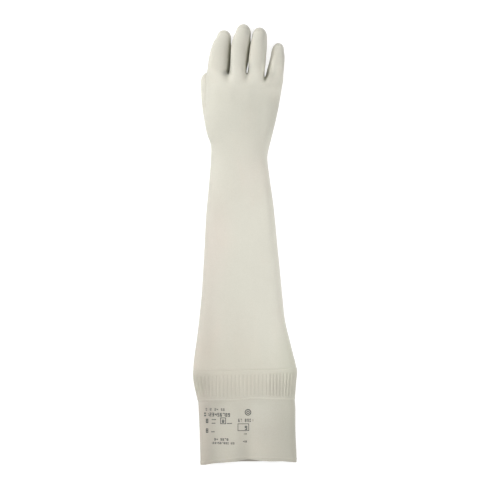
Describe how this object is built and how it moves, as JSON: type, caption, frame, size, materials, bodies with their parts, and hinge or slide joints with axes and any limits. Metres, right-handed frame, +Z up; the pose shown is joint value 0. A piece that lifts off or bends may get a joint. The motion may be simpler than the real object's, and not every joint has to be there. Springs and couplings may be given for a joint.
{
  "type": "long-sleeved natural latex chemical-resistant glove for the right hand, one glove, lying back up",
  "caption": "Long unlined latex glove for one hand, with a formed hand, a full-arm sleeve, a ribbed grip band and a plain open cuff end, lying flat.",
  "frame": {"origin": "on the surface that the glove lies on, below the middle of its length and width", "axes": "+Y along the fingers, +Z up out of the back of the hand, -X towards the thumb"},
  "size_m": [0.1409, 0.5995, 0.0595],
  "materials": {
    "latex": "matte, undyed natural latex, finely grained",
    "ink": "matte printed marks, plain shapes and a plain number"
  },
  "bodies": {
    "root": {"cuff_end": "latex", "ribbed_band": "latex", "lower_sleeve": "latex", "upper_sleeve": "latex", "wrist": "latex", "palm": "latex", "knuckles": "latex", "thumb": "latex", "index_finger": "latex", "index_fingertip": "latex", "middle_finger": "latex", "middle_fingertip": "latex", "ring_finger": "latex", "ring_fingertip": "latex", "little_finger": "latex", "little_fingertip": "latex"}
  },
  "joints": []
}
